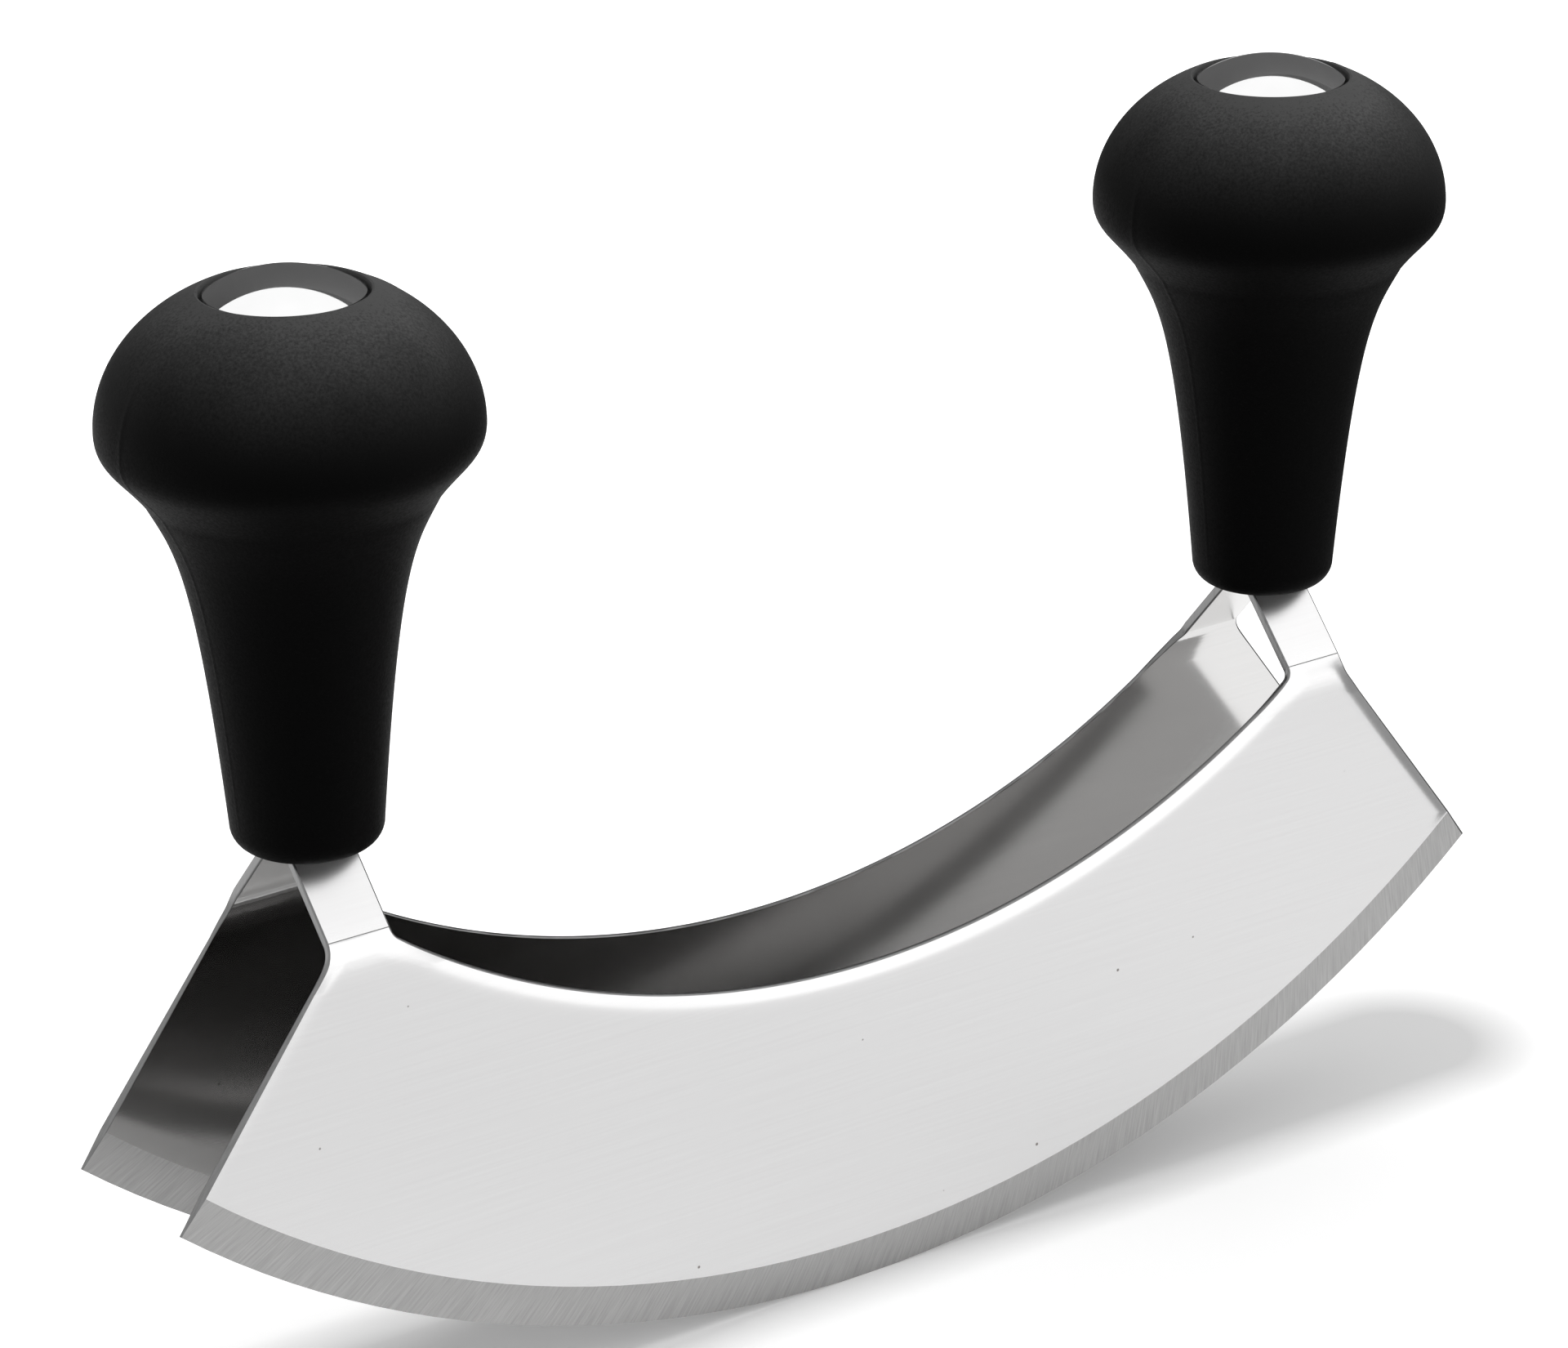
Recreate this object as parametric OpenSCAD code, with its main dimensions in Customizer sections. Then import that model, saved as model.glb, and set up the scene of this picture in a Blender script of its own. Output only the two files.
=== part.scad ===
// Double-blade mezzaluna: two crescent blades side by side, rocked on a board with two knob handles.
// It stands on its two cutting edges. The blades run along X and the handles stand up along Z.

/* [Blades] */
// Chord of each cutting edge, from tip to tip
blade_len = 200; // [180:1:230]
// Radius of the cutting edge in side view
edge_r = 160; // [140:1:220]
// Height of the crescent at its middle, from the cutting edge to the top edge
blade_h = 43; // [34:0.5:46]
// Radius of the concave top edge
top_r = 120; // [110:1:160]
// Thickness of the sheet steel
sheet_t = 1.2; // [0.8:0.1:1.6]
// Clear width of the channel between the two blades
blade_gap = 21.6; // [16:0.2:28]
// Height of the ground bevel on each face
bevel_h = 5.3; // [3:0.1:8]
// Width of the flat left along the cutting edge
edge_land = 0.15; // [0.1:0.01:0.3]

/* [Ears] */
// Distance between the centre lines of the two handles
handle_pitch = 147; // [130:1:150]
// Width of each bent ear
ear_w = 8.8; // [7:0.1:9.2]
// Height of the crease where an ear starts to lean inwards
ear_bend_z = 64.2; // [62:0.2:68]
// Lean of the ears from upright, in degrees
ear_lean = 41.5; // [38:0.5:45]
// Inside radius of the lower bend
bend_r = 4.8; // [2:0.1:6]
// Inside radius of the upper bend, inside the handle
upper_bend_r = 1.5; // [1:0.1:2.5]
// Fillet in the corner between the top edge and an ear
ear_fillet_r = 1.5; // [0.8:0.1:3]
// Length of the upright tang above the upper bend
tang_len = 19; // [15:0.5:24]

/* [Handles] */
// Depth of the handle's foot below the point where the two ears meet
foot_drop = 2.2; // [1.8:0.1:2.5]
// Diameter of the handle at its foot
foot_d = 18.36; // [18:0.02:21]
// Radius of the rounded foot
foot_round = 3; // [2:0.1:3.2]
// Widening of the stem's radius for each millimetre of height at the foot
stem_flare = 0.086; // [0.04:0.002:0.12]
// Diameter at the crease between stem and knob
crease_d = 34.8; // [32:0.1:38]
// Height of the crease above the foot
crease_h = 43.8; // [40:0.2:50]
// Diameter of the knob
knob_d = 45.1; // [42:0.1:50]
// Height of the knob's widest girth above the crease
girth_h = 8; // [7:0.1:10]
// Height of the knob's crown above the girth, were it closed to a point
crown_h = 18.1; // [17.6:0.1:20]
// Thickness of the soft skin
skin_t = 1.6; // [1.2:0.1:1.8]

/* [End caps] */
// Diameter of the domed steel cap
cap_d = 19; // [18.6:0.1:20]
// Height of the cap's dome above its rim
dome_h = 2.8; // [2:0.1:4]
// Thickness of the cap's steel
cap_t = 1; // [0.6:0.1:1.2]
// Outside diameter of the skirt that is pressed into the core
skirt_d = 17.2; // [16:0.1:17.4]
// Length of the skirt below the rim
skirt_len = 5; // [3:0.1:6]
// Gap between the cap's rim and the soft skin
rim_gap = 0.4; // [0.2:0.05:0.6]
// Depth of the cap's rim below the lip of the soft skin
rim_drop = 0.5; // [0.2:0.05:0.8]

/* [Fixings] */
// Diameter of the tie rod's threaded shank
rod_d = 6; // [5:0.5:6.5]
// Diameter of the fork at the lower end of the tie rod
fork_d = 10; // [9:0.1:10.4]
// Length of solid steel above the slot in the fork
fork_web = 4; // [2:0.1:6]
// Diameter of the rivets through fork and tangs
rivet_d = 3; // [2:0.1:3.4]
// Distance between the two rivets of one handle
rivet_pitch = 8; // [7:0.5:10]
// Width of the lock nut across its flats
nut_af = 10; // [9:0.1:11]
// Height of the lock nut
nut_h = 5; // [4:0.1:6]
// Diameter of the washer
washer_d = 14; // [12:0.1:16]
// Thickness of the washer
washer_t = 1.6; // [1:0.1:2]
// Length of shank that stands above the nut
rod_end = 1.5; // [1:0.1:2]
// Free height between the end of the shank and the cap
rod_room = 3; // [2:0.1:3.5]
// Depth of the plug in the mouth of the handle
plug_h = 3.6; // [3:0.1:4]

/* [Hidden] */
$fn = 96;

// Running clearance on the radius between a shaft and its hole
fit_gap = 0.05;
// Clearance beside the tangs in the fork's slot and the plug
slot_gap = 0.1;
// Clearance on the radius round the shank in the core
shank_gap = 0.2;
// Gap between the plug and the fork above it
plug_gap = 0.3;
// Free height above the tangs in the fork's slot
slot_play = 1;
// Width of the flat ring of skin round the mouth of the handle
mouth_flat = 0.1;
// Overlap that carries a cutting solid past the faces it cuts
past = 1;

left = -1;
right = 1;
front = -1;
rear = 1;
handle_x = handle_pitch / 2;

// Blade outline, in side view
tip_x = blade_len / 2;
tip_z = edge_r - sqrt(edge_r * edge_r - tip_x * tip_x);
ear_in_x = handle_x - ear_w / 2;
ear_out_x = handle_x + ear_w / 2;
top_centre_z = blade_h + top_r;
fillet_x = ear_in_x - ear_fillet_r;
fillet_z = top_centre_z - sqrt(pow(top_r - ear_fillet_r, 2) - fillet_x * fillet_x);
fillet_reach = (top_r + past) / (top_r - ear_fillet_r);

// Blade section, seen along X: u is the distance of a face from the middle plane
face_u = blade_gap / 2 + sheet_t;
bend_out_r = bend_r + sheet_t;
upper_out_r = upper_bend_r + sheet_t;
half_turn = tan(ear_lean / 2);
bend_c = [face_u - bend_out_r, ear_bend_z - bend_out_r * half_turn];
meet_z = ear_bend_z + (face_u - sheet_t) / tan(ear_lean);
upper_c = [sheet_t + upper_bend_r, meet_z + upper_bend_r * half_turn];
tang_top_z = upper_c[1] + tang_len;
bend_steps = 10;

// Handle heights
handle_base_z = meet_z - foot_drop;
crease_z = handle_base_z + crease_h;
girth_z = crease_z + girth_h;
rim_r = cap_d / 2;
lip_r = rim_r + rim_gap;
knob_r = knob_d / 2;
lip_z = girth_z + crown_h * sqrt(1 - pow(lip_r / knob_r, 2));
cap_rim_z = lip_z - rim_drop;
cap_seat_z = cap_rim_z - cap_t;
skirt_r = skirt_d / 2;
well_r = skirt_r + fit_gap;
core_top_r = lip_r + skin_t / 2;
dome_r = (rim_r * rim_r + dome_h * dome_h) / (2 * dome_h);

// Fixings along a handle's axis
plug_top_z = handle_base_z + plug_h;
fork_base_z = plug_top_z + plug_gap;
slot_top_z = tang_top_z + slot_play;
shoulder_z = slot_top_z + fork_web;
rod_top_z = cap_rim_z + dome_h - cap_t - rod_room;
nut_top_z = rod_top_z - rod_end;
nut_base_z = nut_top_z - nut_h;
well_floor_z = nut_base_z - washer_t;
fork_bore_r = fork_d / 2 + fit_gap;
shank_bore_r = rod_d / 2 + shank_gap;
mouth_r = foot_d / 2 - foot_round - mouth_flat;
plug_r = mouth_r - fit_gap;
rivet_mid_z = (upper_c[1] + tang_top_z) / 2;
rivet_len = sqrt(fork_d * fork_d - rivet_d * rivet_d);

steel = [0.78, 0.78, 0.79];
polished = [0.86, 0.86, 0.87];
zinc = [0.62, 0.63, 0.65];
soft_black = [0.045, 0.045, 0.047];
hard_black = [0.09, 0.09, 0.09];

// Points of an arc about c, from angle a to angle b, measured from +u towards +z
function arc(c, r, a, b, n) =
  [for (i = [0:n]) c + r * [cos(a + (b - a) * i / n), sin(a + (b - a) * i / n)]];

// Points of a cubic curve from p to s, steered by q and r
function bezier(p, q, r, s, n) =
  [for (i = [0:n]) let (t = i / n, k = 1 - t)
    k * k * k * p + 3 * k * k * t * q + 3 * k * t * t * r + t * t * t * s];

// The same line of points moved to its left by d
function inset(pts, d) =
  [for (i = [0:len(pts) - 1])
    let (
      a = pts[max(i - 1, 0)],
      b = pts[min(i + 1, len(pts) - 1)],
      way = (b - a) / norm(b - a)
    )
    pts[i] + d * [-way[1], way[0]]];

function reversed(pts) = [for (i = [len(pts) - 1:-1:0]) pts[i]];

// Outside of the handle, from the flat of its foot up to the lip round the cap
foot_pts = arc(
  [foot_d / 2 - foot_round, handle_base_z + foot_round], foot_round, -90, 0, 6
);
stem_start = [foot_d / 2, handle_base_z + foot_round];
crease = [crease_d / 2, crease_z];
stem_reach = 0.8 * (crease_h - foot_round);
stem_pts = bezier(
  stem_start,
  stem_start + stem_reach * [stem_flare, 1],
  crease - 7.1 * [sin(28), cos(28)],
  crease,
  14
);
girth = [knob_r, girth_z];
under_pts = bezier(
  crease,
  crease + 5.3 * [sin(37), cos(37)],
  girth - [0, 3.3],
  girth,
  8
);
crown_end = acos(lip_r / knob_r);
crown_pts = [for (i = [1:14]) let (a = crown_end * i / 14)
  [knob_r * cos(a), girth_z + crown_h * sin(a)]];
skin_pts = concat(
  foot_pts,
  [for (i = [1:14]) stem_pts[i]],
  [for (i = [1:8]) under_pts[i]],
  crown_pts
);

// Inside of the skin, as far as the flat top of the core
inner_pts = [for (p = inset(skin_pts, skin_t))
  if (p[1] < girth_z || (p[0] > core_top_r + skin_t / 2 && p[1] < cap_seat_z - skin_t / 2)) p];

module profile_xz(y_from, y_to) {
  translate([0, y_to, 0]) rotate([90, 0, 0])
    linear_extrude(height = y_to - y_from) children();
}

// Metal left in the corner between the top edge and the inner side of an ear
module ear_corner() {
  difference() {
    polygon([
      [fillet_x, fillet_z],
      [ear_in_x + past, fillet_z],
      [ear_in_x + past, fillet_z - 3 * ear_fillet_r],
      [fillet_x * fillet_reach, top_centre_z + (fillet_z - top_centre_z) * fillet_reach]
    ]);
    translate([fillet_x, fillet_z]) circle(r = ear_fillet_r, $fn = 48);
  }
}

// Opening between the ears, down to the concave top edge
module window_outline() {
  difference() {
    intersection() {
      translate([0, top_centre_z]) circle(r = top_r, $fn = 360);
      translate([-ear_in_x, 0]) square([2 * ear_in_x, tang_top_z + past]);
    }
    ear_corner();
    mirror([1, 0]) ear_corner();
  }
}

// The whole blank in side view: crescent, sloped ends and the two ears
module blade_outline() {
  difference() {
    intersection() {
      translate([0, edge_r]) circle(r = edge_r, $fn = 360);
      polygon([
        [-tip_x, -past], [tip_x, -past],
        [tip_x, tip_z], [ear_out_x, ear_bend_z],
        [ear_out_x, tang_top_z], [-ear_out_x, tang_top_z],
        [-ear_out_x, ear_bend_z], [-tip_x, tip_z]
      ]);
    }
    window_outline();
  }
}

// Bent strip that holds the sheet: upright blade, leaning ear, upright tang
module strip_section() {
  polygon(concat(
    [[face_u, -past]],
    arc(bend_c, bend_out_r, 0, ear_lean, bend_steps),
    reversed(arc(upper_c, upper_bend_r, 180, 180 + ear_lean, bend_steps)),
    [[sheet_t, tang_top_z], [0, tang_top_z]],
    arc(upper_c, upper_out_r, 180, 180 + ear_lean, bend_steps),
    reversed(arc(bend_c, bend_r, 0, ear_lean, bend_steps)),
    [[face_u - sheet_t, -past]]
  ));
}

// Ring that grinds one face down to the edge: u is measured from the middle of the sheet
module grind(face) {
  half_t = sheet_t / 2;
  fall = (half_t - edge_land / 2) / bevel_h;
  translate([0, face_u - half_t, edge_r]) rotate([face > 0 ? -90 : 90, 0, 0])
    rotate_extrude($fn = 360) polygon([
      [edge_r - bevel_h, half_t],
      [edge_r + past, half_t - fall * (bevel_h + past)],
      [edge_r + past, half_t + past],
      [edge_r - bevel_h, half_t + past]
    ]);
}

module rivet_holes(r) {
  for (side = [left, right], step = [-0.5, 0.5])
    translate([side * handle_x, -fork_d, rivet_mid_z + step * rivet_pitch])
      rotate([-90, 0, 0]) cylinder(r = r, h = 2 * fork_d, $fn = 32);
}

module blade() {
  color(steel) difference() {
    intersection() {
      translate([-tip_x - past, 0, 0]) rotate([90, 0, 90])
        linear_extrude(height = blade_len + 2 * past) strip_section();
      profile_xz(-past, face_u + past) blade_outline();
    }
    grind(front);
    grind(rear);
    rivet_holes(rivet_d / 2 + fit_gap);
  }
}

module at_handle(side) {
  translate([side * handle_x, 0, 0]) children();
}

// Soft skin over the whole handle, turned in under the foot and down to the cap's seat
module grip(side) {
  color(soft_black) at_handle(side)
    rotate_extrude() polygon(concat(
      [[mouth_r, handle_base_z]],
      skin_pts,
      [[lip_r, cap_seat_z], [core_top_r, cap_seat_z]],
      reversed(inner_pts),
      [[mouth_r, handle_base_z + skin_t]]
    ));
}

// Rigid core: mouth, fork bore, shoulder, shank bore and nut well, one above the other
module handle_core(side) {
  color(hard_black) at_handle(side)
    rotate_extrude() polygon(concat(
      [[mouth_r, handle_base_z + skin_t]],
      inner_pts,
      [
        [core_top_r, cap_seat_z],
        [well_r, cap_seat_z],
        [well_r, well_floor_z],
        [shank_bore_r, well_floor_z],
        [shank_bore_r, shoulder_z],
        [fork_bore_r, shoulder_z],
        [fork_bore_r, plug_top_z],
        [mouth_r, plug_top_z]
      ]
    ));
}

// Pressed cap: dome, flat rim on the core and a skirt in the nut well
module end_cap(side) {
  dome_c = [0, cap_rim_z + dome_h - dome_r];
  inner_r = dome_r - cap_t;
  rim_angle = acos(rim_r / dome_r);
  throat_r = skirt_r - cap_t;
  throat_angle = acos(throat_r / inner_r);
  color(polished) at_handle(side)
    rotate_extrude() polygon(concat(
      [[throat_r, cap_seat_z - skirt_len], [skirt_r, cap_seat_z - skirt_len]],
      [[skirt_r, cap_seat_z], [rim_r, cap_seat_z]],
      arc(dome_c, dome_r, rim_angle, 90, 12),
      reversed(arc(dome_c, inner_r, throat_angle, 90, 12))
    ));
}

// Rod with a forked foot that straddles the two tangs
module tie_rod(side) {
  color(zinc) at_handle(side) difference() {
    union() {
      translate([0, 0, fork_base_z]) cylinder(d = fork_d, h = shoulder_z - fork_base_z);
      translate([0, 0, shoulder_z - past]) cylinder(d = rod_d, h = rod_top_z - shoulder_z + past);
    }
    translate([-fork_d, -sheet_t - slot_gap, fork_base_z - past])
      cube([2 * fork_d, 2 * (sheet_t + slot_gap), slot_top_z - fork_base_z + past]);
    for (step = [-0.5, 0.5])
      translate([0, -fork_d, rivet_mid_z + step * rivet_pitch])
        rotate([-90, 0, 0]) cylinder(r = rivet_d / 2 + fit_gap, h = 2 * fork_d, $fn = 32);
  }
}

module tang_rivets(side) {
  color(zinc) at_handle(side)
    for (step = [-0.5, 0.5])
      translate([0, -rivet_len / 2, rivet_mid_z + step * rivet_pitch])
        rotate([-90, 0, 0]) cylinder(d = rivet_d, h = rivet_len, $fn = 32);
}

module lock_nut(side) {
  color(zinc) at_handle(side) difference() {
    translate([0, 0, nut_base_z]) cylinder(d = nut_af / cos(30), h = nut_h, $fn = 6);
    translate([0, 0, nut_base_z - past])
      cylinder(r = rod_d / 2 + fit_gap, h = nut_h + 2 * past);
  }
}

module washer(side) {
  color(zinc) at_handle(side) difference() {
    translate([0, 0, well_floor_z]) cylinder(d = washer_d, h = washer_t);
    translate([0, 0, well_floor_z - past])
      cylinder(r = shank_bore_r, h = washer_t + 2 * past);
  }
}

// Plug that closes the mouth of the handle round the two leaning ears
module mouth_plug(side) {
  low_u = sheet_t + (meet_z - handle_base_z) * tan(ear_lean) + slot_gap;
  top_u = sheet_t + upper_bend_r * (1 - cos(ear_lean)) + slot_gap;
  color(soft_black) at_handle(side) difference() {
    translate([0, 0, handle_base_z]) cylinder(r = plug_r, h = plug_h);
    translate([-ear_w / 2 - slot_gap, 0, 0]) rotate([90, 0, 90])
      linear_extrude(height = ear_w + 2 * slot_gap) polygon([
        [-low_u - past * tan(ear_lean), handle_base_z - past],
        [low_u + past * tan(ear_lean), handle_base_z - past],
        [top_u, meet_z],
        [top_u, plug_top_z + past],
        [-top_u, plug_top_z + past],
        [-top_u, meet_z]
      ]);
  }
}

mirror([0, 1, 0]) blade();  // front_blade
blade();  // rear_blade
grip(left);  // left_grip
grip(right);  // right_grip
handle_core(left);  // left_handle_core
handle_core(right);  // right_handle_core
end_cap(left);  // left_end_cap
end_cap(right);  // right_end_cap
tie_rod(left);  // left_tie_rod
tie_rod(right);  // right_tie_rod
tang_rivets(left);  // left_tang_rivets
tang_rivets(right);  // right_tang_rivets
lock_nut(left);  // left_lock_nut
lock_nut(right);  // right_lock_nut
washer(left);  // left_washer
washer(right);  // right_washer
mouth_plug(left);  // left_mouth_plug
mouth_plug(right);  // right_mouth_plug
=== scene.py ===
from math import acos, asin, atan2, cos, hypot, pi, radians, sin, sqrt, tan

import bmesh
import bpy
from mathutils import Matrix, Vector


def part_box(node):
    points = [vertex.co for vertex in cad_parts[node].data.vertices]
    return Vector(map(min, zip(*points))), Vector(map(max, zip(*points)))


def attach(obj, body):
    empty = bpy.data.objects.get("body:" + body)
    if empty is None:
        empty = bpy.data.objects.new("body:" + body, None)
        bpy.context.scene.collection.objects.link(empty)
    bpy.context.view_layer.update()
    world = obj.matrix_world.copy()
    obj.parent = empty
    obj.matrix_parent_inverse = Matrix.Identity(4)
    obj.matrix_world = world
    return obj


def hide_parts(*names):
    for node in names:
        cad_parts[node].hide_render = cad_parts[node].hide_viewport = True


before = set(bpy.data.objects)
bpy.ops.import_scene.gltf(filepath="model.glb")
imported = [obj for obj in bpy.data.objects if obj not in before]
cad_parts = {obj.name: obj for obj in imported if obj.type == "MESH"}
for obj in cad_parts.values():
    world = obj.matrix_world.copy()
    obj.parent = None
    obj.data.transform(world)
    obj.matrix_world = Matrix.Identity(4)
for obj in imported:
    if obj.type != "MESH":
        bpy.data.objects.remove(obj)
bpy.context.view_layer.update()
scene = bpy.context.scene
mm = 0.001

# Camera
# A long lens stands front left of the tool, a little above the handles, and is
# turned a fraction of a degree, as the tilt of the two handles shows.
view_azimuth = radians(-35.975)
view_elevation = radians(20.967)
view_roll = radians(-0.691)
view_target = Vector((-4.058, 0, 79.019)) * mm
view_distance = 742.63 * mm

towards_camera = Vector((
    sin(view_azimuth) * cos(view_elevation),
    -cos(view_azimuth) * cos(view_elevation),
    sin(view_elevation),
))
level_right = Vector((cos(view_azimuth), sin(view_azimuth), 0))
roll = Matrix.Rotation(view_roll, 3, towards_camera)
camera_right = roll @ level_right
camera_up = roll @ towards_camera.cross(level_right)

camera = bpy.data.objects.new("camera", bpy.data.cameras.new("camera"))
camera.data.sensor_width = 36
camera.data.lens = 137.87
camera.data.clip_start = 10 * mm
camera.matrix_world = Matrix.Translation(
    view_target + towards_camera * view_distance
) @ Matrix((camera_right, camera_up, towards_camera)).transposed().to_4x4()
scene.collection.objects.link(camera)
scene.camera = camera

# Blades
# Each blade is stamped from 1.2 mm stainless sheet with two ears, which are bent
# inwards and up again inside the handles. Stamping pulls the outer rim down, the
# faces are polished, and both sides are ground down to the cutting edge.
blade_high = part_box("rear_blade")[1]
tip_x = blade_high.x
face_y = blade_high.y
tang_top_z = blade_high.z
edge_radius = 160 * mm
blade_height = 43 * mm
top_radius = 120 * mm
sheet = 1.2 * mm
edge_land = 0.15 * mm
grind_height = 5.3 * mm
handle_x = 73.5 * mm
ear_width = 8.8 * mm
ear_lean = radians(41.5)
kink_z = 64.2 * mm
lower_bend = 3.8 * mm
wide_bend = 16.8 * mm
wide_turn = radians(11)
upper_bend = 1.5 * mm
corner_fillet = 1.5 * mm
kink_round = 1.8 * mm
kink_reach = 4 * mm
rivet_hole = 1.55 * mm
rivet_pitch = 8 * mm
punch_length = 10 * mm
rim_round = 0.26 * mm
pull_slope = 0.3
pull_flat = 1.25 * mm
pull_ease = 1.8 * mm
pull_end_z = 66 * mm
pull_fade = 6 * mm
grind_fade = 4 * mm
end_steepness = 1.5
tool_mark = 0.055 * mm
tool_mark_depth = 0.55 * tool_mark
rim_rows = [0.25 * mm, 0.3 * mm, 0.4 * mm, 0.5 * mm, 0.6 * mm, 0.65 * mm, 0.7 * mm]
snap = 0.01 * mm
hairline = 0.001 * mm
outer_face, ground_face, rim_face, inner_face = range(4)

edge_centre = Vector((0, 0, edge_radius))
line_radius = edge_radius - grind_height
top_centre = Vector((0, 0, blade_height + top_radius))
tip = Vector((tip_x, 0, edge_radius - sqrt(edge_radius**2 - tip_x**2)))
kink = Vector((handle_x + ear_width / 2, 0, kink_z))
end_way = (kink - tip).normalized()
ear_inner_x = handle_x - ear_width / 2
fillet_x = ear_inner_x - corner_fillet
fillet_centre = Vector((
    fillet_x, 0, top_centre.z - sqrt((top_radius - corner_fillet)**2 - fillet_x**2)
))
kink_turn = acos(end_way.z)
kink_centre = kink + Vector((kink_round / tan(kink_turn / 2), 0, kink_round))

# The ear is drawn flat first, at its length along the middle of the sheet. Its
# lower bend starts wide and ends tight, and the leaning faces meet at the kink.
wide_out = wide_bend + sheet
tight_out = lower_bend + sheet
bend_in = wide_out * (1 - cos(wide_turn)) + tight_out * (cos(wide_turn) - cos(ear_lean))
bend_rise = wide_out * sin(wide_turn) + tight_out * (sin(ear_lean) - sin(wide_turn))
bend_z = kink_z + bend_in / tan(ear_lean) - bend_rise
wide_centre = Vector((0, face_y - wide_out, bend_z))
lower_centre = wide_centre + (wide_out - tight_out) * Vector((0, cos(wide_turn), sin(wide_turn)))
meet_z = kink_z + (face_y - sheet) / tan(ear_lean)
upper_centre = Vector((0, sheet + upper_bend, meet_z + upper_bend * tan(ear_lean / 2)))
wide_length = (wide_bend + sheet / 2) * wide_turn
tight_length = (lower_bend + sheet / 2) * (ear_lean - wide_turn)
lean_out = Vector((0, cos(ear_lean), sin(ear_lean)))
lean_up = Vector((0, -sin(ear_lean), cos(ear_lean)))
lean_start = lower_centre + tight_out * lean_out
lean_length = (upper_centre - upper_bend * lean_out - lean_start).length
upper_length = (upper_bend + sheet / 2) * ear_lean
wide_z = bend_z + wide_length
lean_z = wide_z + tight_length
upper_z = lean_z + lean_length
tang_z = upper_z + upper_length
flat_top_z = tang_z + tang_top_z - upper_centre.z
rivet_z = (upper_centre.z + tang_top_z) / 2


def off_edge(point):
    """Distance of a point on the flat blank from the centre of the cutting edge."""
    return hypot(point.x, point.z - edge_radius)


def from_rim(point):
    """How far a point on the flat blank lies in from its rim; ends count as steeper."""
    x = abs(point.x)
    offset = Vector((x, 0, point.z)) - tip
    from_top = hypot(x, point.z - top_centre.z) - top_radius
    from_end = end_steepness * (end_way.x * offset.z - end_way.z * offset.x)
    inner = max(from_top, x - ear_inner_x)
    outer = max(from_end, kink.x - x) if point.z > kink.z - kink_reach else from_end
    return max(0, min(inner, outer))


def pulled(inward):
    """How far stamping has pulled the face down, at a distance inward from the rim."""
    eased = min(1, max(0, 1 - (inward - pull_flat) / pull_ease))
    return pull_slope * (max(0, pull_flat - inward) + eased**2 * pull_ease / 2)


def swung(bm, start, centre, angle, steps):
    """Swings a vertex into an arc and returns the arc's new vertices in order."""
    before = len(bm.verts)
    bmesh.ops.spin(
        bm, geom=[start], cent=centre, axis=(0, 1, 0), angle=angle, steps=steps
    )
    return list(bm.verts)[before:]


def flat_blank():
    """The flat blank: a band to be ground and, above it, the body with its ears."""
    bm = bmesh.new()
    low = bm.verts.new((0, 0, 0))
    high = bm.verts.new((0, 0, grind_height))
    bmesh.ops.spin(
        bm,
        geom=[low, high, bm.edges.new((low, high))],
        cent=edge_centre,
        axis=(0, 1, 0),
        angle=-asin(tip_x / edge_radius),
        steps=24,
    )
    grind_line = sorted(
        (v for v in bm.verts if off_edge(v.co) < edge_radius - grind_height / 2),
        key=lambda v: v.co.x,
    )
    inward = (tip - edge_centre).dot(end_way)
    grind_line[-1].co = tip + end_way * (
        -inward - sqrt(inward**2 - edge_radius**2 + line_radius**2)
    )
    for face in bm.faces:
        face.material_index = ground_face
    kink_arc = [bm.verts.new(kink - end_way * kink_round)]
    kink_arc += swung(bm, kink_arc[0], kink_centre, kink_turn, 6)
    ear = [
        bm.verts.new(point)
        for point in (
            (kink.x, 0, flat_top_z),
            (ear_inner_x, 0, flat_top_z),
            (ear_inner_x, 0, fillet_centre.z),
        )
    ]
    fillet_turn = atan2(top_centre.z - fillet_centre.z, fillet_centre.x)
    fillet = swung(bm, ear[-1], fillet_centre, fillet_turn, 8)
    top_turn = atan2(fillet[-1].co.x, top_centre.z - fillet[-1].co.z)
    top_edge = swung(bm, fillet[-1], top_centre, top_turn, 60)
    bm.faces.new(grind_line + kink_arc + ear + fillet + top_edge)
    bmesh.ops.mirror(
        bm, geom=bm.verts[:] + bm.edges[:] + bm.faces[:], axis="X", merge_dist=snap
    )
    bmesh.ops.recalc_face_normals(bm, faces=bm.faces[:])
    return bm


def bent(point):
    """Where the bends put a point of the blank; its y is 0 in mid-sheet."""
    out = point.y + sheet / 2
    if point.z <= bend_z:
        return Vector((point.x, face_y - sheet + out, point.z))
    if point.z <= wide_z:
        angle = (point.z - bend_z) / (wide_bend + sheet / 2)
        place = wide_centre + (wide_bend + out) * Vector((0, cos(angle), sin(angle)))
    elif point.z <= lean_z:
        angle = wide_turn + (point.z - wide_z) / (lower_bend + sheet / 2)
        place = lower_centre + (lower_bend + out) * Vector((0, cos(angle), sin(angle)))
    elif point.z <= upper_z:
        place = lean_start + lean_up * (point.z - lean_z) + lean_out * (out - sheet)
    elif point.z <= tang_z:
        angle = ear_lean - (point.z - upper_z) / (upper_bend + sheet / 2)
        place = upper_centre - (upper_bend + sheet - out) * Vector((0, cos(angle), sin(angle)))
    else:
        place = Vector((0, out, upper_centre.z + point.z - tang_z))
    return Vector((point.x, place.y, place.z))


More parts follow.
